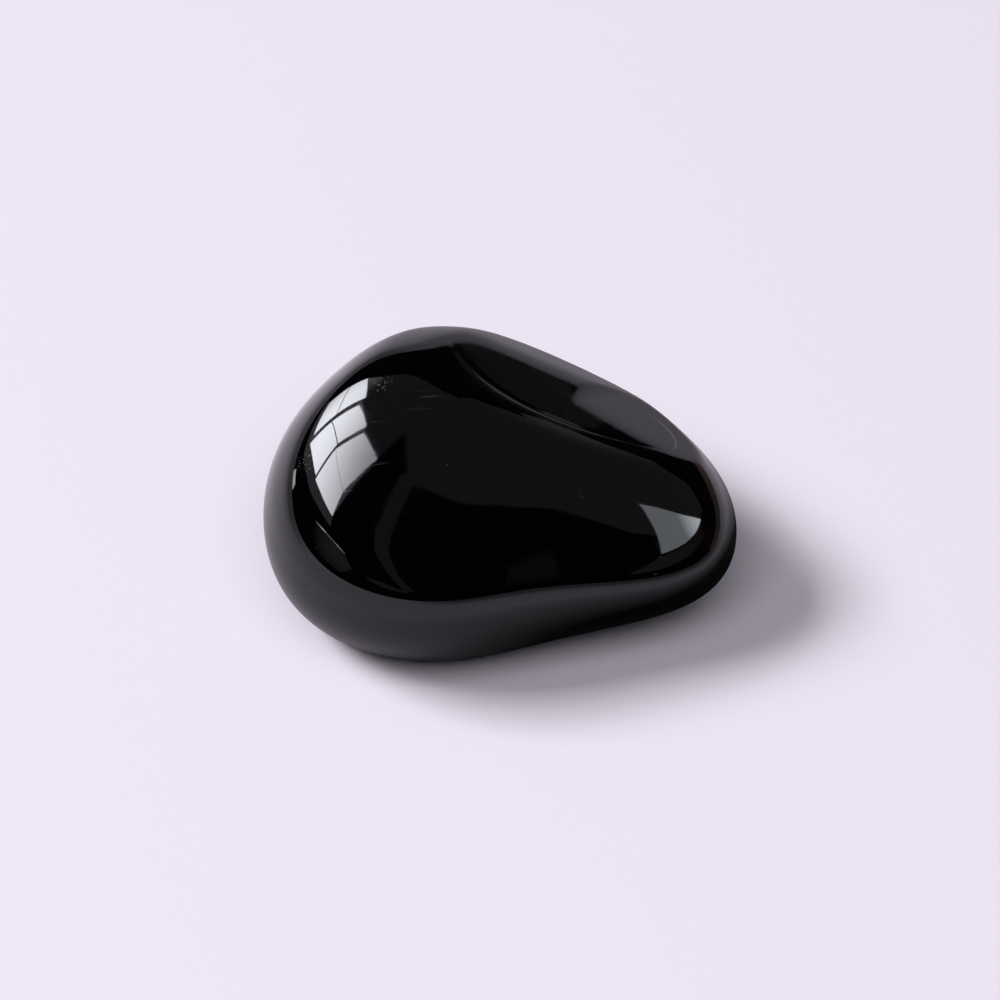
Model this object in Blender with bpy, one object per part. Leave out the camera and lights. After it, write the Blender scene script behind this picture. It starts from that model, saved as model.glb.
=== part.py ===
"""A tumbled obsidian pebble: one solid piece of volcanic glass, ground smooth and polished.

The stone lies along X with its blunt end at -X. It rests on a small worn flat, and the origin is the
bottom centre of its bounding box. Angles on the stone are an azimuth, 0 at +X and 90 at +Y, and an
elevation above the ground.
"""

import math

import bmesh
import bpy
from mathutils import Vector

NAME = "obsidian_stone"
MM = 0.001

# The egg that the facets are ground on. Its ends differ in girth, and both bend down and forward.
HALF_LENGTH = 16.7 * MM
HALF_DEPTH = 14.5 * MM
TOP_HEIGHT = 10.8 * MM
UNDER_HEIGHT = 11.5 * MM
MIDDLE_GIRTH = 0.955
END_TAPER = 0.15
TAPER_STEEPNESS = 2.2
END_BLUNTNESS = 0.04
FORWARD_BEND = -2.6 * MM
DOWNWARD_BEND = -1.8 * MM
BEND_CENTRE = -0.10

# The facets, in grinding order: azimuth and elevation of the way each one faces, in degrees, its
# distance from the egg's centre, and the width over which its edge is rounded. The flake face is
# the one on the upper back.
FLAKE_FACE = (36.3, 63.4, 7.15 * MM, 0.25 * MM)
FACETS = (
    (73.9, 45.2, 11.14 * MM, 0.89 * MM),   # back
    (90.7, 64.1, 10.03 * MM, 0.88 * MM),   # top, towards the back
    (140.0, 37.0, 14.08 * MM, 1.3 * MM),   # back, on the left
    (-100.0, 60.0, 9.9 * MM, 1.0 * MM),    # top, towards the front
    (-62.0, 42.0, 11.1 * MM, 1.5 * MM),    # broad front
    (33.0, 32.0, 11.79 * MM, 0.5 * MM),    # narrow end, at the back
    FLAKE_FACE,
    (50.0, 53.4, 8.22 * MM, 0.12 * MM),    # rim behind the flake face
)

# The end face, a second flake face that stops short of the first one's blunt end. Its plane rises
# away from the stone before the place where it stops, which is measured along the flake line.
END_FACE = (39.0, 60.5, 7.26 * MM, 0.03 * MM)
END_FACE_STOP = 3.5 * MM
END_FACE_RISE = 0.06 / MM
FLAKE_LINE_TURN = -34.0

# The shallow dome that the underside is worn to: its lowest point, its depth below the egg's
# centre, its radius, and the width over which its edge is rounded.
UNDERSIDE_MIDDLE = (-1.8 * MM, -0.5 * MM)
UNDERSIDE_DEPTH = 9.2 * MM
UNDERSIDE_RADIUS = 60.0 * MM
UNDERSIDE_SOFTNESS = 0.35 * MM

WORN_FLAT_DEPTH = 0.2 * MM
SPHERE_SUBDIVISIONS = 5

# A soft edge changes nothing further than this many times its width inside a surface.
SOFT_REACH = 40.0

GLASS_COLOUR = (0.004, 0.004, 0.005, 1.0)
GLASS_ROUGHNESS = 0.04
GLASS_IOR = 1.5


def facing(azimuth, elevation):
    """Return the unit vector that faces this way, both angles in degrees."""
    turn, rise = math.radians(azimuth), math.radians(elevation)
    return Vector((
        math.cos(turn) * math.cos(rise),
        math.sin(turn) * math.cos(rise),
        math.sin(rise),
    ))


def egg(point):
    """Turn a point of the unit sphere into a point of the tapered, bent egg."""
    along = point.x
    girth = MIDDLE_GIRTH - END_TAPER * math.tanh(TAPER_STEEPNESS * along)
    girth *= 1.0 + END_BLUNTNESS * along ** 4
    height = TOP_HEIGHT if point.z > 0.0 else UNDER_HEIGHT
    bend = (along - BEND_CENTRE) ** 2
    return Vector((
        HALF_LENGTH * along,
        HALF_DEPTH * girth * point.y + FORWARD_BEND * bend,
        height * girth * point.z + DOWNWARD_BEND * bend,
    ))


def press(point, normal, proud, softness):
    """Press a point back along the normal if it is proud of a surface, with a soft edge."""
    if proud < -SOFT_REACH * softness:
        return point
    kept = -softness * math.log1p(math.exp(-proud / softness))
    return point + (kept - proud) * normal


def grind(point, facet):
    """Press a point back to the facet's plane."""
    azimuth, elevation, distance, softness = facet
    normal = facing(azimuth, elevation)
    return press(point, normal, point.dot(normal) - distance, softness)


def along_flake(point):
    """Return how far along the flake line this point is."""
    turn = math.radians(FLAKE_LINE_TURN)
    return point.x * math.cos(turn) + point.y * math.sin(turn)


def grind_end_face(point):
    """Press a point back to the end face, which stops short of the stone's blunt end."""
    if point.z < 0.0:
        return point
    azimuth, elevation, distance, softness = END_FACE
    normal = facing(azimuth, elevation)
    before = max(0.0, END_FACE_STOP - along_flake(point))
    proud = point.dot(normal) - distance - END_FACE_RISE * before ** 2
    return press(point, normal, proud, softness)


def wear_underside(point):
    """Press a point back to the shallow dome under the stone."""
    if point.z > 0.0:
        return point
    aside, ahead = point.x - UNDERSIDE_MIDDLE[0], point.y - UNDERSIDE_MIDDLE[1]
    proud = -point.z - UNDERSIDE_DEPTH + (aside ** 2 + ahead ** 2) / (2.0 * UNDERSIDE_RADIUS)
    return press(point, Vector((0.0, 0.0, -1.0)), proud, UNDERSIDE_SOFTNESS)


def stone_point(point):
    """Turn a point of the unit sphere into a point of the polished stone."""
    point = egg(point)
    for facet in FACETS:
        point = grind(point, facet)
    return wear_underside(grind_end_face(point))


def wear_flat(mesh):
    """Cut the small flat that the stone rests on, and close it with one face."""
    height = min(vertex.co.z for vertex in mesh.verts) + WORN_FLAT_DEPTH
    everything = mesh.verts[:] + mesh.edges[:] + mesh.faces[:]
    bmesh.ops.bisect_plane(
        mesh,
        geom=everything,
        dist=1e-7,
        plane_co=(0.0, 0.0, height),
        plane_no=(0.0, 0.0, -1.0),
        clear_outer=True,
    )
    rim = [edge for edge in mesh.edges if edge.is_boundary]
    bmesh.ops.holes_fill(mesh, edges=rim, sides=0)


def stand_on_origin(mesh):
    """Move the stone so that its bounding box stands on the origin by its bottom centre."""
    lowest = [min(vertex.co[axis] for vertex in mesh.verts) for axis in range(3)]
    highest = [max(vertex.co[axis] for vertex in mesh.verts) for axis in range(3)]
    centre = [(low + high) / 2.0 for low, high in zip(lowest, highest)]
    shift = Vector((-centre[0], -centre[1], -lowest[2]))
    bmesh.ops.translate(mesh, vec=shift, verts=mesh.verts)


def glass():
    """Return the polished black volcanic glass."""
    material = bpy.data.materials.new("polished_obsidian")
    material.use_nodes = True
    shader = material.node_tree.nodes["Principled BSDF"]
    shader.inputs["Base Color"].default_value = GLASS_COLOUR
    shader.inputs["Metallic"].default_value = 0.0
    shader.inputs["Roughness"].default_value = GLASS_ROUGHNESS
    shader.inputs["IOR"].default_value = GLASS_IOR
    return material


def stone():
    """Make the stone as one closed solid."""
    shape = bmesh.new()
    bmesh.ops.create_icosphere(shape, subdivisions=SPHERE_SUBDIVISIONS, radius=1.0)
    for vertex in shape.verts:
        vertex.co = stone_point(vertex.co)
    wear_flat(shape)
    stand_on_origin(shape)
    bmesh.ops.recalc_face_normals(shape, faces=shape.faces)
    mesh = bpy.data.meshes.new(NAME)
    shape.to_mesh(mesh)
    shape.free()
    mesh.shade_smooth()
    mesh.materials.append(glass())
    body = bpy.data.objects.new(NAME, mesh)
    bpy.context.scene.collection.objects.link(body)
    return body


def main():
    for item in list(bpy.data.objects):
        bpy.data.objects.remove(item, do_unlink=True)
    stone()


main()
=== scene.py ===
"""Tumbled Obsidian: a polished black stone of volcanic glass in a small photo studio."""

import math

import bmesh
import bpy
from bpy.props import FloatProperty, FloatVectorProperty, IntProperty, PointerProperty
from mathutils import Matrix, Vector

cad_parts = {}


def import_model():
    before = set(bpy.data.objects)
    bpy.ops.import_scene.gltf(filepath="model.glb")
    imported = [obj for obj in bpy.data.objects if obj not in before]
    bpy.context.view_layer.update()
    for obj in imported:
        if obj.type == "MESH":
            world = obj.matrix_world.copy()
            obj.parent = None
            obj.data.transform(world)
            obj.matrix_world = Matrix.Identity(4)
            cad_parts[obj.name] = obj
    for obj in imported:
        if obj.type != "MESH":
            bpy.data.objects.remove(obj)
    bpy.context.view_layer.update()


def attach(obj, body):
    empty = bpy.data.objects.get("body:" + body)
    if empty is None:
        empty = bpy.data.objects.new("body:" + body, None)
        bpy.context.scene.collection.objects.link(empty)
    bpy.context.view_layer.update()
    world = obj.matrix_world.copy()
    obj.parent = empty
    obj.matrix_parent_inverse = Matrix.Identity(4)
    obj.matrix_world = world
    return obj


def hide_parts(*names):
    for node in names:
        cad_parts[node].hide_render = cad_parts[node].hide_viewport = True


bl_info = {
    "name": "Tumbled Obsidian",
    "version": (1, 0, 0),
    "blender": (4, 5, 0),
    "location": "View3D > Sidebar > Obsidian",
    "description": "Makes a polished obsidian stone and the studio it lies in",
    "category": "Object",
}

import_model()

MM = 0.001
NODE = "obsidian_stone"
BODY = "root"

# The egg that the stone's facets are ground on, beside the sizes in StoneProportions.
MIDDLE_GIRTH = 0.955
TAPER_STEEPNESS = 2.2
END_BLUNTNESS = 0.04
BEND_CENTRE = -0.10

# The facets, in grinding order: azimuth and elevation of the way each one faces, in degrees, its
# distance from the egg's centre, and the width over which its edge is rounded. The flake face is
# the one on the upper back.
FLAKE_FACE = (36.3, 63.4, 7.15 * MM, 0.25 * MM)
FACETS = (
    (73.9, 45.2, 11.14 * MM, 0.89 * MM),   # back
    (90.7, 64.1, 10.03 * MM, 0.88 * MM),   # top, towards the back
    (140.0, 37.0, 14.08 * MM, 1.3 * MM),   # back, on the left
    (-100.0, 60.0, 9.9 * MM, 1.0 * MM),    # top, towards the front
    (-62.0, 42.0, 11.1 * MM, 1.5 * MM),    # broad front
    (33.0, 32.0, 11.79 * MM, 0.5 * MM),    # narrow end, at the back
    FLAKE_FACE,
    (50.0, 53.4, 8.22 * MM, 0.12 * MM),    # rim behind the flake face
)

# The end face, a second flake face that stops short of the first one's blunt end. Its plane rises
# away from the stone before the place where it stops, which is measured along the flake line.
END_FACE = (39.0, 60.5, 7.26 * MM, 0.03 * MM)
END_FACE_STOP = 3.5 * MM
END_FACE_RISE = 0.06 / MM
FLAKE_LINE_TURN = -34.0

# The shallow dome that the underside is worn to: its lowest point, its depth below the egg's
# centre, its radius, and the width over which its edge is rounded.
UNDERSIDE_MIDDLE = (-1.8 * MM, -0.5 * MM)
UNDERSIDE_DEPTH = 9.2 * MM
UNDERSIDE_RADIUS = 60.0 * MM
UNDERSIDE_SOFTNESS = 0.35 * MM

# The fine groove along the flake face's near edge: how far it lies from the middle of the stone, how
# it curves, and how it fades towards its ends.
GROOVE_OFFSET = -0.1 * MM
GROOVE_MIDDLE = 1.0 * MM
GROOVE_RADIUS = 8.3 * MM
GROOVE_HALF_LENGTH = 7.0 * MM
GROOVE_HALF_WIDTH = 0.3 * MM

# A soft edge changes nothing further than this many times its width inside a surface.
SOFT_REACH = 40.0

# The polish. A scale is how many features a noise has in a metre, more or less, and a range is the
# part of the noise over which what it makes goes from none to full. Smooth noises have little detail.
GLASS_IOR = 1.5
SMOOTH = 1.0
SWELL_SCALE = 150.0
SWELL_HEIGHT = 0.02 * MM
RIPPLE_SCALE = 900.0
RIPPLE_HEIGHT = 0.0012 * MM
HAZE_SCALE = 210.0
HAZE_DETAIL = 4.0
HAZE_RANGE = (0.45, 0.8)
MARK_ROUGHNESS = 0.4

# The smoky glass: where along X the stone thins, and the clouds in it, with their least share.
THIN_END = (12.5 * MM, 17.0 * MM)
CLOUD_SCALE = 260.0
CLOUD_DETAIL = 3.0
CLOUD_RANGE = (0.35, 0.65)
CLOUD_LEAST = 0.25

# The hair-fine scuffs: noise stretched into streaks and turned, in degrees, and shown in patches.
SCUFF_STRETCH = (140.0, 7000.0, 2600.0)
SCUFF_TURN = (20.0, 0.0, 35.0)
SCUFF_RANGE = (0.68, 0.76)
SCUFF_SHARE = 0.12
PATCH_SCALE = 170.0
PATCH_RANGE = (0.58, 0.68)

# The pits: how many cells in a metre, a pit's edge as a share of its cell, how strongly it shows, and
# which cells have one.
PIT_SCALE = 347.0
PIT_EDGE = (0.01, 0.022)
PIT_SHARE = 0.8
PIT_CHOICE = (0.72, 0.74)

# Scratches, in millimetres: the place that each one curves round, its middle, its half width and its
# half length. A scratch is full within a share of its width and its length, and worn by a noise.
SCRATCHES = (
    ((7.9, 1.2, 13.4), (12.2, 1.9, 11.3), 0.06, 3.3),
    ((-51.4, -29.6, -28.0), (-11.6, -10.2, 12.4), 0.05, 1.7),
    ((30.0, 50.0, 10.0), (-3.0, 11.5, 10.5), 0.03, 2.5),
    ((-40.0, 20.0, 30.0), (-14.0, 4.0, 8.0), 0.03, 1.8),
)
SCRATCH_CORE = 0.3
SCRATCH_FULL = 0.5
WORN_SCALE = 900.0
WORN_RANGE = (0.38, 0.5)
WORN_LEAST = 0.3

# Places with a scatter of tiny specks: the middle and the size of each one.
SCUFFED_SPOTS = (
    ((-8.2 * MM, -0.7 * MM, 18.1 * MM), 0.9 * MM),
    ((-13.4 * MM, -4.7 * MM, 14.5 * MM), 1.1 * MM),
    ((4.0 * MM, 11.0 * MM, 9.0 * MM), 1.2 * MM),
)
SPOT_FULL = 0.2
SPECK_SCALE = 5200.0
SPECK_RANGE = (0.6, 0.66)
SPECK_SHARE = 0.4

# The studio. Directions are azimuth, 0 at +X and 90 at +Y, and elevation, both in degrees, as seen
# from the stone. A card is hung between a foot row and a head row of directions, which match point
# by point. Only the polish shows the cards. The cards glow: the window's panes, the sliver and the lamp
# stand for lights, and all the others are painted light in place of lit surfaces. Those that stand in
# front of others hang nearer.
CARD_DISTANCE = 1.2
FURNITURE_DISTANCE = 1.2 * CARD_DISTANCE
FRAME_DISTANCE = 1.35 * CARD_DISTANCE
CURTAIN_DISTANCE = 1.4 * CARD_DISTANCE
ROOM_DISTANCE = 1.5 * CARD_DISTANCE
FLOOR_RADIUS = 1.6

# The two soft boxes that light the floor: the side each one stands on, its width and its height.
LIGHT_DISTANCE = 2.0
MAIN_LIGHT = ((178.0, 47.0), 1.0, 0.7)
SIDE_LIGHT = ((268.0, 58.0), 1.8, 1.1)

# The window: where its posts, from far to near, meet the head, the glazing bar and the sill. Half
# the width of each post, and of the glazing bar in each column of panes, in degrees.
WINDOW_HEAD = ((120.0, 24.5), (141.5, 49.0), (173.5, 67.0), (205.0, 73.0))
WINDOW_BAR = ((123.5, 15.0), (142.0, 29.5), (166.5, 51.0), (197.0, 61.0))
WINDOW_SILL = ((127.0, 6.5), (143.0, 13.0), (169.0, 33.5), (198.0, 48.0))
POST_WIDTHS = (0.0, 1.5, 0.8, 0.0)
BAR_WIDTHS = (0.35, 0.3, 0.08)
# The window's glow: its colour, its brightest place, how far from it the glow fades, in degrees, and
# the least share of it that is left. The frame behind the panes glows with painted light, of a colour
# and a strength.
WINDOW_COLOUR = (0.92, 0.93, 1.0)
WINDOW_MIDDLE = (158.0, 38.0)
WINDOW_FADE = 40.0
WINDOW_LEAST = 0.32
FRAME_GLOW = ((0.85, 0.88, 1.0), 0.8)

# The curtain over the window's head and the wall under its sill, which glow with painted light, and a
# sliver of light under that.
CURTAIN_TOP = ((119.0, 37.0), (133.0, 53.0), (158.0, 70.0), (206.0, 77.0))
CURTAIN_GLOW = ((0.9, 0.9, 1.0), 0.9)
CURTAIN_FADE = 24.0
CURTAIN_LEAST = 0.14
UNDER_SILL = ((125.0, 3.0), (146.0, 9.0), (172.0, 27.0), (200.0, 42.0))
UNDER_SILL_GLOW = ((0.9, 0.95, 1.0), 0.4)
SLIVER_FOOT = ((147.0, 0.3), (155.0, 1.0))
SLIVER_HEAD = ((148.0, 3.0), (155.0, 4.5))
SLIVER_GLOW = ((0.9, 0.95, 1.0), 4.0)

# The dim room over the stone: the edges from which it is lit, up to the zenith, on the right and on
# the left, the piece between them, which leans, and the foot of the piece that closes the top.
ROOM_RIGHT_EDGE = (
    (-130.0, 75.0), (-110.0, 75.0), (-90.0, 73.0), (-71.0, 69.0), (-52.0, 59.0), (-41.0, 48.0),
    (-37.5, 40.0), (-34.5, 32.0), (-30.0, 29.0), (-23.0, 38.0), (-13.0, 30.0), (-3.0, 20.5),
    (5.0, 19.5), (12.0, 25.0), (20.0, 32.0), (29.0, 34.0), (46.0, 29.0), (66.0, 13.0),
)
ROOM_LEFT_EDGE = (
    (84.0, 79.0), (104.0, 77.5), (106.0, 67.0), (108.0, 54.0), (113.0, 45.0), (119.0, 37.0),
    (133.0, 53.0), (158.0, 70.0), (206.0, 77.0), (230.0, 75.0),
)
ROOM_LEAN_NEAR = ((66.0, 12.0), (66.0, 14.0), (66.0, 22.0), (66.0, 42.0), (66.0, 60.0), (66.0, 80.0))
ROOM_LEAN_FAR = ((73.8, 1.2), (73.2, 5.0), (70.0, 15.0), (66.3, 40.0), (68.5, 60.0), (84.0, 79.0))
ROOM_TOP = ((66.0, 80.0), (84.0, 79.0))
ROOM_COLOUR = (1.0, 1.0, 1.0)
# What is left of the room where no card hangs.
DARK_ROOM = (0.004, 0.004, 0.0045, 1.0)

# The lamp beside the narrow end, its glow, and the dim shelf that it stands on.
LAMP_FOOT = ((-35.0, 20.5), (-23.5, 20.0), (-13.0, 19.7), (-3.0, 20.0))
LAMP_HEAD = ((-35.0, 21.0), (-24.0, 38.5), (-13.0, 29.7), (-3.0, 20.5))
LAMP_COLOUR = (0.87, 0.92, 1.0)
LAMP_MIDDLE = (-4.0, 20.0)
LAMP_FADE = 15.0
LAMP_LEAST = 0.3
SHELF_FOOT = ((-48.0, 7.0), (-38.0, 9.0), (-25.0, 11.0), (-6.0, 14.0))
SHELF_HEAD = ((-46.0, 11.0), (-37.0, 19.0), (-25.0, 19.0), (-5.0, 18.5))

# The tall pale stand in front on the left, from its foot up, the walls behind it and by its foot, and
# the chair in front on the right.
STAND_LEFT = ((256.0, 17.0), (243.0, 43.0), (232.0, 57.0), (227.0, 66.0), (224.0, 75.0))
STAND_RIGHT = ((262.0, 17.0), (251.0, 41.0), (240.0, 61.0), (236.0, 70.0), (233.0, 75.5))
FRONT_WALL_FOOT = ((186.0, 7.0), (203.0, 8.0), (216.0, 8.0), (222.0, 20.0))
FRONT_WALL_HEAD = ((188.0, 29.0), (203.0, 35.0), (215.0, 36.0), (223.0, 24.0))
LOW_WALL_FOOT = ((233.0, 20.0), (245.0, 15.0), (258.0, 13.0))
LOW_WALL_HEAD = ((233.0, 23.0), (243.0, 24.0), (258.0, 16.0))
CHAIR_LEFT = ((-60.0, 0.5), (-58.0, 15.0), (-55.0, 33.0))
CHAIR_RIGHT = ((-55.0, 0.5), (-51.0, 15.0), (-46.0, 33.0))

# The walls low behind the narrow end, and low behind the back.
END_WALL_FOOT = ((-9.0, 0.3), (14.0, 0.3), (32.0, 0.3), (50.0, 0.3), (68.0, 0.2))
END_WALL_HEAD = ((-9.0, 3.0), (14.0, 6.0), (32.0, 9.0), (50.0, 8.0), (68.0, 0.8))
BACK_WALL_FOOT = ((73.2, 0.1), (76.5, 0.1))
BACK_WALL_HEAD = ((73.2, 2.4), (76.5, 1.3))

# The pieces in the room whose painted light fades: the name, the two rows, the colour and strength of
# the glow, its brightest place, how far from it the glow fades, and the least share of it that is left.
FADING_PIECES = (
    ("shelf", SHELF_FOOT, SHELF_HEAD, ((1.0, 0.97, 0.85), 0.13), (-40.0, 14.0), 36.0, 0.2),
    ("chair", CHAIR_LEFT, CHAIR_RIGHT, ((1.0, 1.0, 1.0), 0.07), (-47.0, 20.0), 17.0, 0.0),
    ("front_wall", FRONT_WALL_FOOT, FRONT_WALL_HEAD, ((0.9, 0.95, 1.0), 0.2), (213.0, 27.0), 26.0, 0.0),
)
# The pieces in the room that glow evenly with painted light: the name, the two rows and the colour of
# the glow.
EVEN_PIECES = (
    ("stand", STAND_LEFT, STAND_RIGHT, (0.115, 0.115, 0.115)),
    ("low_wall", LOW_WALL_FOOT, LOW_WALL_HEAD, (0.13, 0.14, 0.13)),
    ("end_wall", END_WALL_FOOT, END_WALL_HEAD, (0.19, 0.14, 0.115)),
    ("back_wall", BACK_WALL_FOOT, BACK_WALL_HEAD, (0.025, 0.025, 0.027)),
)

# Painted shade in what the polish shows of the floor, as a share of its light; the camera and the
# lights see the plain floor.
# It is dimmer within a lobe behind the stone and far off towards two sides, whose ranges are of the
# cosine to their directions, and a painted contact shadow darkens it close to the stone, round a centre
# on the shadow's side. The far range is in metres.
BEHIND = (85.0, 0.0)
BEHIND_RANGE = (0.84, 0.95)
BEHIND_SHADE_SHARE = 0.4
DIM_AXIS = (135.0, 0.0)
DIM_RANGE = (0.5, 0.85)
FAR_SHADE_SHARE = 0.35
FAR_RANGE = (0.06, 0.14)
PAINTED_SHADOW_CENTRE = (14.0 * MM, -2.5 * MM, 0.0)
PAINTED_SHADOW_STRETCH = (0.62, 1.0, 1.0)
PAINTED_SHADOW_SHARES = (0.03, 0.93)
PAINTED_SHADOW_REACH = (9.8 * MM, 28.5 * MM)

# The camera's sensor, in millimetres, and how near it sees, in metres.
SENSOR_WIDTH = 36.0
NEAREST_SEEN = 0.01


class StoneProportions(bpy.types.PropertyGroup):
    """The stone's main sizes."""

    half_length: FloatProperty(
        name="Half length", description="Half of the egg's length, along X",
        default=16.7 * MM, min=1.0 * MM, unit="LENGTH",
    )
    half_depth: FloatProperty(
        name="Half depth", description="Half of the egg's size from front to back",
        default=14.5 * MM, min=1.0 * MM, unit="LENGTH",
    )
    top_height: FloatProperty(
        name="Top height", description="Height of the egg above its widest line",
        default=10.8 * MM, min=1.0 * MM, unit="LENGTH",
    )
    under_height: FloatProperty(
        name="Under height", description="Depth of the egg below its widest line",
        default=11.5 * MM, min=1.0 * MM, unit="LENGTH",
    )
    end_taper: FloatProperty(
        name="Taper", description="How much wider the blunt end is than the narrow end",
        default=0.15, min=0.0, max=0.5, subtype="FACTOR",
    )
    forward_bend: FloatProperty(
        name="Forward bend", description="How far the ends bend towards -Y, as a negative length",
        default=-2.6 * MM, unit="LENGTH",
    )
    downward_bend: FloatProperty(
        name="Downward bend", description="How far the ends bend down, as a negative length",
        default=-1.8 * MM, unit="LENGTH",
    )
    groove_depth: FloatProperty(
        name="Groove depth", description="Depth of the fine groove along the flake face's edge",
        default=0.012 * MM, min=0.0, unit="LENGTH",
    )
    flat_depth: FloatProperty(
        name="Worn flat", description="Height of the cap that is worn away under the stone",
        default=0.2 * MM, min=0.0, unit="LENGTH",
    )
    subdivisions: IntProperty(
        name="Subdivisions", description="Steps that the sphere is divided in before it is shaped",
        default=7, min=3, max=7,
    )


class GlassFinish(bpy.types.PropertyGroup):
    """The look of the polished volcanic glass."""

    colour: FloatVectorProperty(
        name="Body colour", description="Colour of the glass in its depth",
        default=(0.0003, 0.0003, 0.0004), min=0.0, max=1.0, subtype="COLOR",
    )
    roughness: FloatProperty(
        name="Roughness", description="Roughness of the clean polish",
        default=0.03, min=0.0, max=1.0, subtype="FACTOR",
    )
    smoke: FloatVectorProperty(
        name="Smoke colour", description="Colour that shows through at the thin end",
        default=(0.006, 0.0035, 0.0025), min=0.0, max=1.0, subtype="COLOR",
    )
    crushed: FloatVectorProperty(
        name="Crushed colour", description="Colour of the glass where a mark has crushed it",
        default=(0.3, 0.3, 0.32), min=0.0, max=1.0, subtype="COLOR",
    )
    haze: FloatProperty(
        name="Haze", description="How much rougher the faint clouds in the polish are",
        default=0.05, min=0.0, max=1.0, subtype="FACTOR",
    )
    wear: FloatProperty(
        name="Wear", description="How strongly the scratches, scuffs and pits show",
        default=0.7, min=0.0, max=1.0, subtype="FACTOR",
    )


class StudioLook(bpy.types.PropertyGroup):
    """The floor, the lights and the camera."""

    floor_colour: FloatVectorProperty(
        name="Floor colour", description="Colour of the pale floor",
        default=(0.823, 0.761, 0.879), min=0.0, max=1.0, subtype="COLOR",
    )
    window_glow: FloatProperty(
        name="Window glow", description="Brightness of the window's middle",
        default=17.5, min=0.0,
    )
    room_glow: FloatProperty(
        name="Room glow", description="Brightness of the dim room over the stone",
        default=0.125, min=0.0,
    )
    lamp_glow: FloatProperty(
        name="Lamp glow", description="Brightness of the lamp beside the narrow end",
        default=8.0, min=0.0,
    )
    main_power: FloatProperty(
        name="Main light", description="Power of the soft box that lights the floor from the left",
        default=38.5, min=0.0, unit="POWER",
    )
    side_power: FloatProperty(
        name="Side light", description="Power of the soft box that lights the floor from the front",
        default=17.5, min=0.0, unit="POWER",
    )
    fill: FloatProperty(
        name="Fill light", description="Brightness of the light that fills the shadows",
        default=0.05, min=0.0,
    )
    camera_tilt: FloatProperty(
        name="Camera tilt", description="How steeply the camera looks down",
        default=math.radians(41.0), subtype="ANGLE",
    )
    camera_distance: FloatProperty(
        name="Camera distance", description="Distance from the camera to the point it looks at",
        default=0.297, min=0.05, unit="LENGTH",
    )
    camera_target: FloatVectorProperty(
        name="Camera target", description="The point that the camera looks at",
        default=(0.0, -0.35 * MM, 7.21 * MM), subtype="TRANSLATION", unit="LENGTH",
    )
    camera_lens: FloatProperty(
        name="Lens", description="Focal length of the camera, in millimetres",
        default=150.7, min=10.0,
    )


def facing(azimuth, elevation):
    """Return the unit vector that faces this way, both angles in degrees."""
    turn, rise = math.radians(azimuth), math.radians(elevation)
    return Vector((
        math.cos(turn) * math.cos(rise),
        math.sin(turn) * math.cos(rise),
        math.sin(rise),
    ))


def egg(point, size):
    """Turn a point of the unit sphere into a point of the tapered, bent egg."""
    along = point.x
    girth = MIDDLE_GIRTH - size.end_taper * math.tanh(TAPER_STEEPNESS * along)
    girth *= 1.0 + END_BLUNTNESS * along ** 4
    height = size.top_height if point.z > 0.0 else size.under_height
    bend = (along - BEND_CENTRE) ** 2
    return Vector((
        size.half_length * along,
        size.half_depth * girth * point.y + size.forward_bend * bend,
        height * girth * point.z + size.downward_bend * bend,
    ))


def press(point, normal, proud, softness):
    """Press a point back along the normal if it is proud of a surface, with a soft edge."""
    if proud < -SOFT_REACH * softness:
        return point
    kept = -softness * math.log1p(math.exp(-proud / softness))
    return point + (kept - proud) * normal


def grind(point, facet):
    """Press a point back to the facet's plane."""
    azimuth, elevation, distance, softness = facet
    normal = facing(azimuth, elevation)
    return press(point, normal, point.dot(normal) - distance, softness)


def along_flake(point):
    """Return how far along the flake line this point is."""
    turn = math.radians(FLAKE_LINE_TURN)
    return point.x * math.cos(turn) + point.y * math.sin(turn)


def grind_end_face(point):
    """Press a point back to the end face, which stops short of the stone's blunt end."""
    if point.z < 0.0:
        return point
    azimuth, elevation, distance, softness = END_FACE
    normal = facing(azimuth, elevation)
    before = max(0.0, END_FACE_STOP - along_flake(point))
    proud = point.dot(normal) - distance - END_FACE_RISE * before ** 2
    return press(point, normal, proud, softness)


def wear_underside(point):
    """Press a point back to the shallow dome under the stone."""
    if point.z > 0.0:
        return point
    aside, ahead = point.x - UNDERSIDE_MIDDLE[0], point.y - UNDERSIDE_MIDDLE[1]
    proud = -point.z - UNDERSIDE_DEPTH + (aside ** 2 + ahead ** 2) / (2.0 * UNDERSIDE_RADIUS)
    return press(point, Vector((0.0, 0.0, -1.0)), proud, UNDERSIDE_SOFTNESS)


def groove_share(point):
    """Return how deep the groove at the flake face's edge is here, as a share of its depth."""
    if point.z < 0.0:
        return 0.0
    turn = math.radians(FLAKE_LINE_TURN)
    along = along_flake(point) - GROOVE_MIDDLE
    across = point.y * math.cos(turn) - point.x * math.sin(turn) - GROOVE_OFFSET
    across -= along ** 2 / (2.0 * GROOVE_RADIUS)
    return math.exp(-(across / GROOVE_HALF_WIDTH) ** 2 - (along / GROOVE_HALF_LENGTH) ** 2)


def shape_stone(mesh, size):
    """Turn the unit sphere into the ground and polished stone."""
    inward = size.groove_depth * facing(*FLAKE_FACE[:2])
    for vertex in mesh.verts:
        point = egg(vertex.co, size)
        for facet in FACETS:
            point = grind(point, facet)
        point = wear_underside(grind_end_face(point))
        vertex.co = point - groove_share(point) * inward


def wear_flat(mesh, depth):
    """Cut the small flat that the stone rests on, and close it with one face."""
    height = min(vertex.co.z for vertex in mesh.verts) + depth
    everything = mesh.verts[:] + mesh.edges[:] + mesh.faces[:]
    bmesh.ops.bisect_plane(
        mesh,
        geom=everything,
        dist=1e-7,
        plane_co=(0.0, 0.0, height),
        plane_no=(0.0, 0.0, -1.0),
        clear_outer=True,
    )
    rim = [edge for edge in mesh.edges if edge.is_boundary]
    bmesh.ops.holes_fill(mesh, edges=rim, sides=0)


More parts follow.
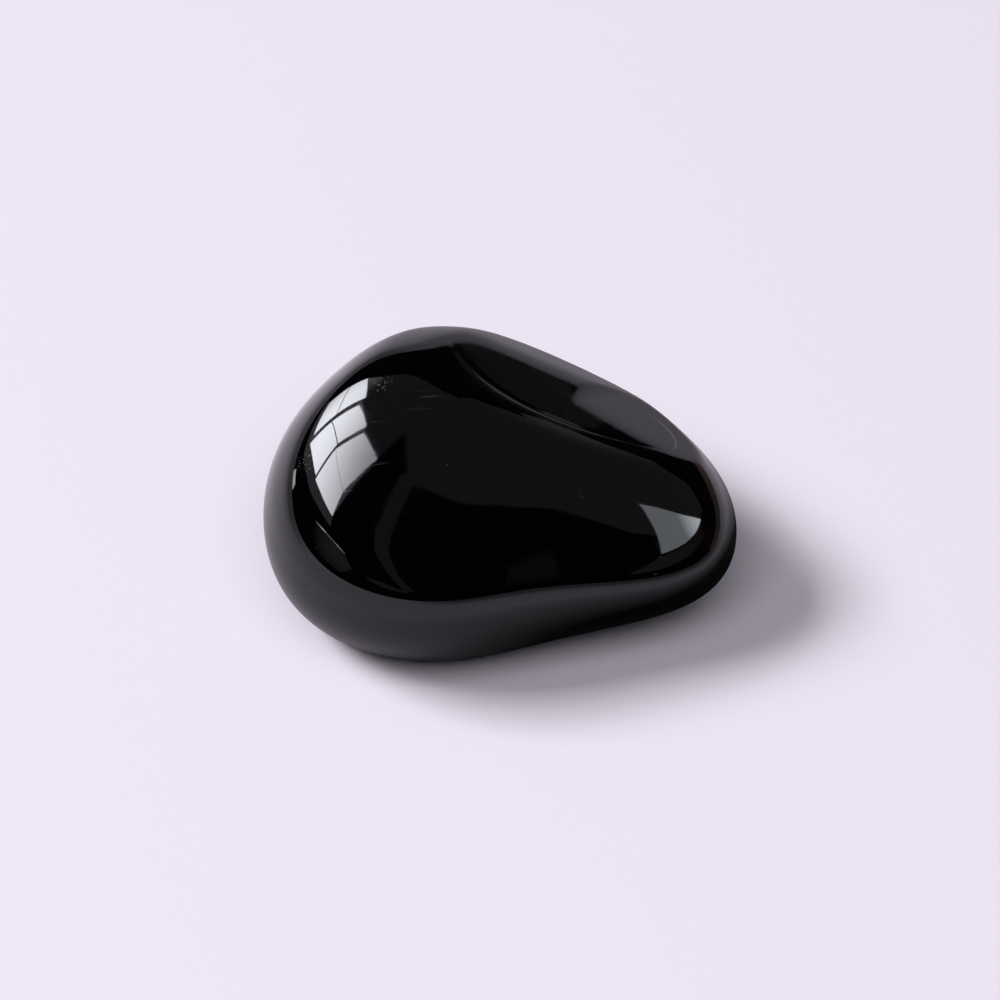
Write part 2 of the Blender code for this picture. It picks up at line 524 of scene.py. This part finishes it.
def stand_on_origin(mesh):
    """Move the stone so that its bounding box stands on the origin by its bottom centre."""
    lowest = [min(vertex.co[axis] for vertex in mesh.verts) for axis in range(3)]
    highest = [max(vertex.co[axis] for vertex in mesh.verts) for axis in range(3)]
    centre = [(low + high) / 2.0 for low, high in zip(lowest, highest)]
    shift = Vector((-centre[0], -centre[1], -lowest[2]))
    bmesh.ops.translate(mesh, vec=shift, verts=mesh.verts)


def combined(nodes, links, first, second, operation="MULTIPLY"):
    """Return a socket with two values multiplied, or combined by the operation that is named."""
    step = nodes.new("ShaderNodeMath")
    step.operation = operation
    for socket, value in zip(step.inputs, (first, second)):
        if isinstance(value, float):
            socket.default_value = value
        else:
            links.new(value, socket)
    return step.outputs["Value"]


def mapped(nodes, links, value, source, target):
    """Return a socket with the value mapped from one range to another, and held at its ends."""
    ramp = nodes.new("ShaderNodeMapRange")
    for name, number in zip(("From Min", "From Max", "To Min", "To Max"), (*source, *target)):
        ramp.inputs[name].default_value = number
    links.new(value, ramp.inputs["Value"])
    return ramp.outputs["Result"]


def mixed(nodes, links, share, first, second):
    """Return a socket with the colour mixed from the first one to the second by the share."""
    blend = nodes.new("ShaderNodeMix")
    blend.data_type = "RGBA"
    links.new(share, blend.inputs["Factor"])
    for name, colour in (("A", first), ("B", second)):
        socket = next(item for item in blend.inputs if item.name == name and item.type == "RGBA")
        if isinstance(colour, tuple):
            socket.default_value = (*colour, 1.0)
        else:
            links.new(colour, socket)
    return next(item for item in blend.outputs if item.type == "RGBA")


def reach(nodes, links, centre=(0.0, 0.0, 0.0), stretch=(1.0, 1.0, 1.0)):
    """Return a socket with the distance from a place, with each axis stretched by its factor."""
    place = nodes.new("ShaderNodeTexCoord")
    shifted = nodes.new("ShaderNodeVectorMath")
    shifted.operation = "SUBTRACT"
    shifted.inputs[1].default_value = centre
    stretched = nodes.new("ShaderNodeVectorMath")
    stretched.operation = "MULTIPLY"
    stretched.inputs[1].default_value = stretch
    distance = nodes.new("ShaderNodeVectorMath")
    distance.operation = "LENGTH"
    links.new(place.outputs["Object"], shifted.inputs[0])
    links.new(shifted.outputs["Vector"], stretched.inputs[0])
    links.new(stretched.outputs["Vector"], distance.inputs[0])
    return distance.outputs["Value"]


def likeness(nodes, links, way):
    """Return a socket with the cosine between a stage place's direction and this one."""
    place = nodes.new("ShaderNodeTexCoord")
    outward = nodes.new("ShaderNodeVectorMath")
    outward.operation = "NORMALIZE"
    alike = nodes.new("ShaderNodeVectorMath")
    alike.operation = "DOT_PRODUCT"
    alike.inputs[1].default_value = facing(*way)
    links.new(place.outputs["Object"], outward.inputs[0])
    links.new(outward.outputs["Vector"], alike.inputs[0])
    return alike.outputs["Value"]


def texture(nodes, links, kind, scale, detail=2.0, stretch=(1.0, 1.0, 1.0), turn=(0.0, 0.0, 0.0)):
    """Return a noise or cell texture on the stone's own coordinates, stretched and turned."""
    place = nodes.new("ShaderNodeTexCoord")
    mapping = nodes.new("ShaderNodeMapping")
    mapping.inputs["Scale"].default_value = stretch
    mapping.inputs["Rotation"].default_value = [math.radians(angle) for angle in turn]
    grain = nodes.new(kind)
    grain.inputs["Scale"].default_value = scale
    grain.inputs["Detail"].default_value = detail
    links.new(place.outputs["Object"], mapping.inputs["Vector"])
    links.new(mapping.outputs["Vector"], grain.inputs["Vector"])
    return grain


def noise(nodes, links, scale, detail=2.0, stretch=(1.0, 1.0, 1.0), turn=(0.0, 0.0, 0.0)):
    """Return a socket with soft noise from 0 to 1."""
    return texture(nodes, links, "ShaderNodeTexNoise", scale, detail, stretch, turn).outputs["Fac"]


def scratch(nodes, links, line):
    """Return a socket that is 1 on a fine scratch, and worn away in places and at its ends."""
    centre, middle, half_width, half_length = line
    centre, middle = Vector(centre) * MM, Vector(middle) * MM
    radius = (middle - centre).length
    off = combined(nodes, links, reach(nodes, links, centre), radius, "SUBTRACT")
    off = combined(nodes, links, off, 0.0, "ABSOLUTE")
    across = mapped(nodes, links, off, (SCRATCH_CORE * half_width * MM, half_width * MM), (1.0, 0.0))
    length = (SCRATCH_FULL * half_length * MM, half_length * MM)
    ends = mapped(nodes, links, reach(nodes, links, middle), length, (1.0, 0.0))
    worn = mapped(nodes, links, noise(nodes, links, WORN_SCALE), WORN_RANGE, (WORN_LEAST, 1.0))
    return combined(nodes, links, combined(nodes, links, across, ends), worn)


def scuffs(nodes, links):
    """Return a socket with hair-fine scuffs in a few patches, and with the scuffed spots."""
    streaks = noise(nodes, links, 1.0, SMOOTH, SCUFF_STRETCH, SCUFF_TURN)
    streaks = mapped(nodes, links, streaks, SCUFF_RANGE, (0.0, SCUFF_SHARE))
    patches = mapped(nodes, links, noise(nodes, links, PATCH_SCALE, SMOOTH), PATCH_RANGE, (0.0, 1.0))
    marks = combined(nodes, links, streaks, patches)
    specks = mapped(nodes, links, noise(nodes, links, SPECK_SCALE), SPECK_RANGE, (0.0, SPECK_SHARE))
    for middle, size in SCUFFED_SPOTS:
        near = mapped(nodes, links, reach(nodes, links, middle), (SPOT_FULL * size, size), (1.0, 0.0))
        marks = combined(nodes, links, marks, combined(nodes, links, near, specks), "MAXIMUM")
    return marks


def pits(nodes, links):
    """Return a socket that shows the few tiny pits of the polish."""
    cells = texture(nodes, links, "ShaderNodeTexVoronoi", PIT_SCALE, 0.0)
    hole = mapped(nodes, links, cells.outputs["Distance"], PIT_EDGE, (PIT_SHARE, 0.0))
    parts = nodes.new("ShaderNodeSeparateColor")
    links.new(cells.outputs["Color"], parts.inputs["Color"])
    chosen = mapped(nodes, links, parts.outputs["Red"], PIT_CHOICE, (0.0, 1.0))
    return combined(nodes, links, hole, chosen)


def polished_glass(finish):
    """Return the polished black volcanic glass, with its swells, haze, scuffs and pits."""
    material = bpy.data.materials.new("polished_obsidian")
    material.use_nodes = True
    nodes, links = material.node_tree.nodes, material.node_tree.links
    shader = nodes["Principled BSDF"]
    shader.inputs["IOR"].default_value = GLASS_IOR

    # The body: black, and smoky brown where the thin narrow end lets some light through.
    place = nodes.new("ShaderNodeTexCoord")
    parts = nodes.new("ShaderNodeSeparateXYZ")
    links.new(place.outputs["Object"], parts.inputs["Vector"])
    thin = mapped(nodes, links, parts.outputs["X"], THIN_END, (0.0, 1.0))
    clouds = noise(nodes, links, CLOUD_SCALE, CLOUD_DETAIL)
    cloudy = mapped(nodes, links, clouds, CLOUD_RANGE, (CLOUD_LEAST, 1.0))
    smoky = combined(nodes, links, thin, cloudy)
    body = mixed(nodes, links, smoky, tuple(finish.colour), tuple(finish.smoke))

    # Marks in the polish: scratches, scuffs and pits, all pale where the glass is crushed.
    marks = combined(nodes, links, scuffs(nodes, links), pits(nodes, links), "MAXIMUM")
    for line in SCRATCHES:
        marks = combined(nodes, links, marks, scratch(nodes, links, line), "MAXIMUM")
    marks = combined(nodes, links, marks, finish.wear)
    colour = mixed(nodes, links, marks, body, tuple(finish.crushed))
    links.new(colour, shader.inputs["Base Color"])

    # The polish: clean, with faint hazy clouds, and matt in the marks.
    haze = noise(nodes, links, HAZE_SCALE, HAZE_DETAIL)
    haze = mapped(nodes, links, haze, HAZE_RANGE, (0.0, finish.haze))
    rough = combined(nodes, links, haze, finish.roughness, "ADD")
    rough = combined(nodes, links, rough, combined(nodes, links, marks, MARK_ROUGHNESS), "ADD")
    links.new(rough, shader.inputs["Roughness"])

    # The surface: slow swells left by the tumbling, and a fine ripple.
    swells = combined(nodes, links, noise(nodes, links, SWELL_SCALE, SMOOTH), SWELL_HEIGHT)
    ripple = combined(nodes, links, noise(nodes, links, RIPPLE_SCALE), RIPPLE_HEIGHT)
    relief = combined(nodes, links, swells, ripple, "ADD")
    bump = nodes.new("ShaderNodeBump")
    bump.inputs["Distance"].default_value = 1.0
    links.new(relief, bump.inputs["Height"])
    links.new(bump.outputs["Normal"], shader.inputs["Normal"])
    return material


def glow_material(name, glow):
    """Return an evenly glowing surface of this colour and strength."""
    colour, strength = glow
    material = bpy.data.materials.new(name)
    material.use_nodes = True
    nodes = material.node_tree.nodes
    nodes.clear()
    shine = nodes.new("ShaderNodeEmission")
    shine.inputs["Color"].default_value = (*colour, 1.0)
    shine.inputs["Strength"].default_value = strength
    output = nodes.new("ShaderNodeOutputMaterial")
    material.node_tree.links.new(shine.outputs["Emission"], output.inputs["Surface"])
    return material


def fading_glow(name, glow, middle, fade, least):
    """Return a glowing surface that fades to a least share of its strength away from its middle."""
    material = glow_material(name, glow)
    strength = glow[1]
    nodes, links = material.node_tree.nodes, material.node_tree.links
    near = likeness(nodes, links, middle)
    edge = math.cos(math.radians(fade))
    shown = mapped(nodes, links, near, (edge, 1.0), (least * strength, strength))
    links.new(shown, nodes["Emission"].inputs["Strength"])
    return material


def stage_piece(name, mesh, material):
    """Make a stage object of this bmesh, and free the bmesh."""
    data = bpy.data.meshes.new(name)
    mesh.to_mesh(data)
    mesh.free()
    data.materials.append(material)
    item = bpy.data.objects.new(name, data)
    bpy.context.scene.collection.objects.link(item)
    return item


def reflection_only(item):
    """Show a stage object in the stone's polish, and nowhere else."""
    item.visible_camera = False
    item.visible_diffuse = False
    item.visible_shadow = False


def card(name, foot, head, material, distance=CARD_DISTANCE):
    """Hang a card between two rows of directions, which have as many points each."""
    mesh = bmesh.new()
    lower = [mesh.verts.new(distance * facing(*way)) for way in foot]
    upper = [mesh.verts.new(distance * facing(*way)) for way in head]
    for step in range(len(lower) - 1):
        mesh.faces.new((lower[step], lower[step + 1], upper[step + 1], upper[step]))
    item = stage_piece(name, mesh, material)
    reflection_only(item)
    return item


def zenith(row):
    """Return a row as long as this one, straight over the stone."""
    return [(turn, 90.0) for turn, rise in row]


def moved(way, aside, up=0.0):
    """Return the direction moved this many degrees aside and up."""
    turn, rise = way
    return turn + aside / math.cos(math.radians(rise)), rise + up


def window(look):
    """Hang the window: two rows of panes between its posts, the frame behind them, and its surround."""
    shine = (WINDOW_COLOUR, look.window_glow)
    glow = fading_glow("window_glow", shine, WINDOW_MIDDLE, WINDOW_FADE, WINDOW_LEAST)
    for row, (top, foot) in enumerate(((WINDOW_HEAD, WINDOW_BAR), (WINDOW_BAR, WINDOW_SILL))):
        for column, bar in enumerate(BAR_WIDTHS):
            far, near = POST_WIDTHS[column], -POST_WIDTHS[column + 1]
            up, down = bar * (1 - row), -bar * row
            card(
                f"window_pane_{row + 1}_{column + 1}",
                [moved(foot[column], far, up), moved(foot[column + 1], near, up)],
                [moved(top[column], far, down), moved(top[column + 1], near, down)],
                glow,
            )
    # The frame, the curtain and the wall under the sill glow with painted light in place of lit
    # surfaces.
    frame_glow = glow_material("window_frame", FRAME_GLOW)
    card("window_frame", WINDOW_SILL, WINDOW_HEAD, frame_glow, FRAME_DISTANCE)
    curtain = fading_glow("curtain", CURTAIN_GLOW, WINDOW_HEAD[0], CURTAIN_FADE, CURTAIN_LEAST)
    card("curtain", WINDOW_HEAD, CURTAIN_TOP, curtain, CURTAIN_DISTANCE)
    under = glow_material("under_sill", UNDER_SILL_GLOW)
    card("under_sill", UNDER_SILL, WINDOW_SILL, under, CURTAIN_DISTANCE)
    card("sliver", SLIVER_FOOT, SLIVER_HEAD, glow_material("sliver", SLIVER_GLOW))


def room(look):
    """Hang the dim room over the stone, and what stands in it."""
    # The room and its pieces glow with painted light in place of lit surfaces, and the lamp is a light.
    dim = glow_material("room_glow", (ROOM_COLOUR, look.room_glow))
    for name, edge in (("room_right", ROOM_RIGHT_EDGE), ("room_left", ROOM_LEFT_EDGE)):
        card(name, edge, zenith(edge), dim, ROOM_DISTANCE)
    card("room_lean", ROOM_LEAN_NEAR, ROOM_LEAN_FAR, dim, ROOM_DISTANCE)
    card("room_top", ROOM_TOP, zenith(ROOM_TOP), dim, ROOM_DISTANCE)
    lamp = fading_glow("lamp_glow", (LAMP_COLOUR, look.lamp_glow), LAMP_MIDDLE, LAMP_FADE, LAMP_LEAST)
    card("lamp", LAMP_FOOT, LAMP_HEAD, lamp)
    for name, foot, head, glow, middle, fade, least in FADING_PIECES:
        card(name, foot, head, fading_glow(name, glow, middle, fade, least), FURNITURE_DISTANCE)
    for name, foot, head, colour in EVEN_PIECES:
        card(name, foot, head, glow_material(name, (colour, 1.0)), FURNITURE_DISTANCE)


def soft_light(name, lamp, power):
    """Light the floor with a soft box, which the polish doesn't show."""
    side, width, height = lamp
    data = bpy.data.lights.new(name, "AREA")
    data.shape = "RECTANGLE"
    data.size, data.size_y = width, height
    data.energy = power
    item = bpy.data.objects.new(name, data)
    bpy.context.scene.collection.objects.link(item)
    way = facing(*side)
    item.location = LIGHT_DISTANCE * way
    item.rotation_euler = way.to_track_quat("Z", "Y").to_euler()
    item.visible_glossy = False
    item.visible_camera = False


def floor(look):
    """Lay the plain pale floor, which the polish shows with painted shade: dimmer behind the stone and
    far off, and with a painted contact shadow close to it.
    """
    mesh = bmesh.new()
    bmesh.ops.create_circle(mesh, cap_ends=True, radius=FLOOR_RADIUS, segments=64)
    material = bpy.data.materials.new("pale_floor")
    material.use_nodes = True
    nodes, links = material.node_tree.nodes, material.node_tree.links
    shader = nodes["Principled BSDF"]
    shader.inputs["Base Color"].default_value = (*look.floor_colour, 1.0)
    shader.inputs["Roughness"].default_value = 1.0
    shader.inputs["Specular IOR Level"].default_value = 0.0

    # Painted shade for the polish only: dimmer behind the stone, far off towards two sides, and a
    # painted contact shadow close to it.
    behind = likeness(nodes, links, BEHIND)
    behind = mapped(nodes, links, behind, BEHIND_RANGE, (1.0, BEHIND_SHADE_SHARE))
    sideways = combined(nodes, links, likeness(nodes, links, DIM_AXIS), 0.0, "ABSOLUTE")
    sideways = mapped(nodes, links, sideways, DIM_RANGE, (0.0, 1.0 - FAR_SHADE_SHARE))
    far = mapped(nodes, links, reach(nodes, links), FAR_RANGE, (0.0, 1.0))
    kept = combined(nodes, links, 1.0, combined(nodes, links, sideways, far), "SUBTRACT")
    close = reach(nodes, links, PAINTED_SHADOW_CENTRE, PAINTED_SHADOW_STRETCH)
    close = mapped(nodes, links, close, PAINTED_SHADOW_REACH, PAINTED_SHADOW_SHARES)
    share = combined(nodes, links, combined(nodes, links, behind, kept), close)

    # Glossy rays see the floor's colour darkened by this painted shade, and other rays see the plain
    # floor.
    shaded_reflection = nodes.new("ShaderNodeBsdfDiffuse")
    colour = nodes.new("ShaderNodeVectorMath")
    colour.operation = "SCALE"
    colour.inputs[0].default_value = look.floor_colour
    links.new(share, colour.inputs["Scale"])
    links.new(colour.outputs["Vector"], shaded_reflection.inputs["Color"])
    path = nodes.new("ShaderNodeLightPath")
    either = nodes.new("ShaderNodeMixShader")
    links.new(path.outputs["Is Glossy Ray"], either.inputs["Fac"])
    links.new(shader.outputs["BSDF"], either.inputs[1])
    links.new(shaded_reflection.outputs["BSDF"], either.inputs[2])
    links.new(either.outputs["Shader"], nodes["Material Output"].inputs["Surface"])
    stage_piece("studio_floor", mesh, material)


def world(look):
    """Light the floor from all round, and keep the room dark in the stone's polish."""
    sky = bpy.data.worlds.new("studio_room")
    bpy.context.scene.world = sky
    sky.use_nodes = True
    nodes, links = sky.node_tree.nodes, sky.node_tree.links
    nodes.clear()
    dark = nodes.new("ShaderNodeBackground")
    dark.inputs["Color"].default_value = DARK_ROOM
    fill = nodes.new("ShaderNodeBackground")
    fill.inputs["Strength"].default_value = look.fill
    pale = nodes.new("ShaderNodeBackground")
    pale.inputs["Color"].default_value = (*look.floor_colour, 1.0)
    path = nodes.new("ShaderNodeLightPath")
    polish = nodes.new("ShaderNodeMixShader")
    seen = nodes.new("ShaderNodeMixShader")
    output = nodes.new("ShaderNodeOutputWorld")
    links.new(path.outputs["Is Glossy Ray"], polish.inputs["Fac"])
    links.new(fill.outputs["Background"], polish.inputs[1])
    links.new(dark.outputs["Background"], polish.inputs[2])
    links.new(path.outputs["Is Camera Ray"], seen.inputs["Fac"])
    links.new(polish.outputs["Shader"], seen.inputs[1])
    links.new(pale.outputs["Background"], seen.inputs[2])
    links.new(seen.outputs["Shader"], output.inputs["Surface"])


def camera(look):
    """Set the camera up in front of the stone, looking down at it."""
    data = bpy.data.cameras.new("studio_camera")
    data.lens = look.camera_lens
    data.sensor_width = SENSOR_WIDTH
    data.clip_start = NEAREST_SEEN
    item = bpy.data.objects.new("studio_camera", data)
    bpy.context.scene.collection.objects.link(item)
    target = Vector(look.camera_target)
    toward = facing(-90.0, math.degrees(look.camera_tilt))
    item.location = target + look.camera_distance * toward
    item.rotation_euler = toward.to_track_quat("Z", "Y").to_euler()
    bpy.context.scene.camera = item


class OBSIDIAN_OT_stone(bpy.types.Operator):
    """Make the polished stone"""

    bl_idname = "obsidian.stone"
    bl_label = "Tumbled stone"

    def execute(self, context):
        size = context.scene.obsidian_size
        shape = bmesh.new()
        bmesh.ops.create_icosphere(shape, subdivisions=size.subdivisions, radius=1.0)
        shape_stone(shape, size)
        wear_flat(shape, size.flat_depth)
        stand_on_origin(shape)
        bmesh.ops.recalc_face_normals(shape, faces=shape.faces)
        data = bpy.data.meshes.new("polished_stone")
        shape.to_mesh(data)
        shape.free()
        data.shade_smooth()
        data.materials.append(polished_glass(context.scene.obsidian_finish))
        stone = bpy.data.objects.new("polished_stone", data)
        context.scene.collection.objects.link(stone)
        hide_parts(NODE)
        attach(stone, BODY)
        return {"FINISHED"}


class OBSIDIAN_OT_studio(bpy.types.Operator):
    """Set up the floor, the lights and the camera"""

    bl_idname = "obsidian.studio"
    bl_label = "Studio"

    def execute(self, context):
        look = context.scene.obsidian_studio
        context.scene.view_settings.view_transform = "Standard"
        floor(look)
        window(look)
        room(look)
        soft_light("main_light", MAIN_LIGHT, look.main_power)
        soft_light("side_light", SIDE_LIGHT, look.side_power)
        world(look)
        camera(look)
        return {"FINISHED"}


class OBSIDIAN_PT_panel(bpy.types.Panel):
    """The stone and its studio"""

    bl_idname = "OBSIDIAN_PT_panel"
    bl_label = "Tumbled obsidian"
    bl_space_type = "VIEW_3D"
    bl_region_type = "UI"
    bl_category = "Obsidian"

    def draw(self, context):
        layout = self.layout
        scene = context.scene
        for groups, operator in (
            ((scene.obsidian_size, scene.obsidian_finish), OBSIDIAN_OT_stone),
            ((scene.obsidian_studio,), OBSIDIAN_OT_studio),
        ):
            box = layout.box()
            for group in groups:
                for name in group.__annotations__:
                    box.prop(group, name)
            box.operator(operator.bl_idname)


CLASSES = (
    StoneProportions,
    GlassFinish,
    StudioLook,
    OBSIDIAN_OT_stone,
    OBSIDIAN_OT_studio,
    OBSIDIAN_PT_panel,
)


def register():
    """Register the classes, and give the scene their settings."""
    for item in CLASSES:
        bpy.utils.register_class(item)
    bpy.types.Scene.obsidian_size = PointerProperty(type=StoneProportions)
    bpy.types.Scene.obsidian_finish = PointerProperty(type=GlassFinish)
    bpy.types.Scene.obsidian_studio = PointerProperty(type=StudioLook)


def unregister():
    """Take away what register gave."""
    del bpy.types.Scene.obsidian_studio
    del bpy.types.Scene.obsidian_finish
    del bpy.types.Scene.obsidian_size
    for item in reversed(CLASSES):
        bpy.utils.unregister_class(item)


def main():
    """Make the stone and its studio."""
    register()
    bpy.ops.obsidian.stone()
    bpy.ops.obsidian.studio()


if __name__ == "__main__":
    main()
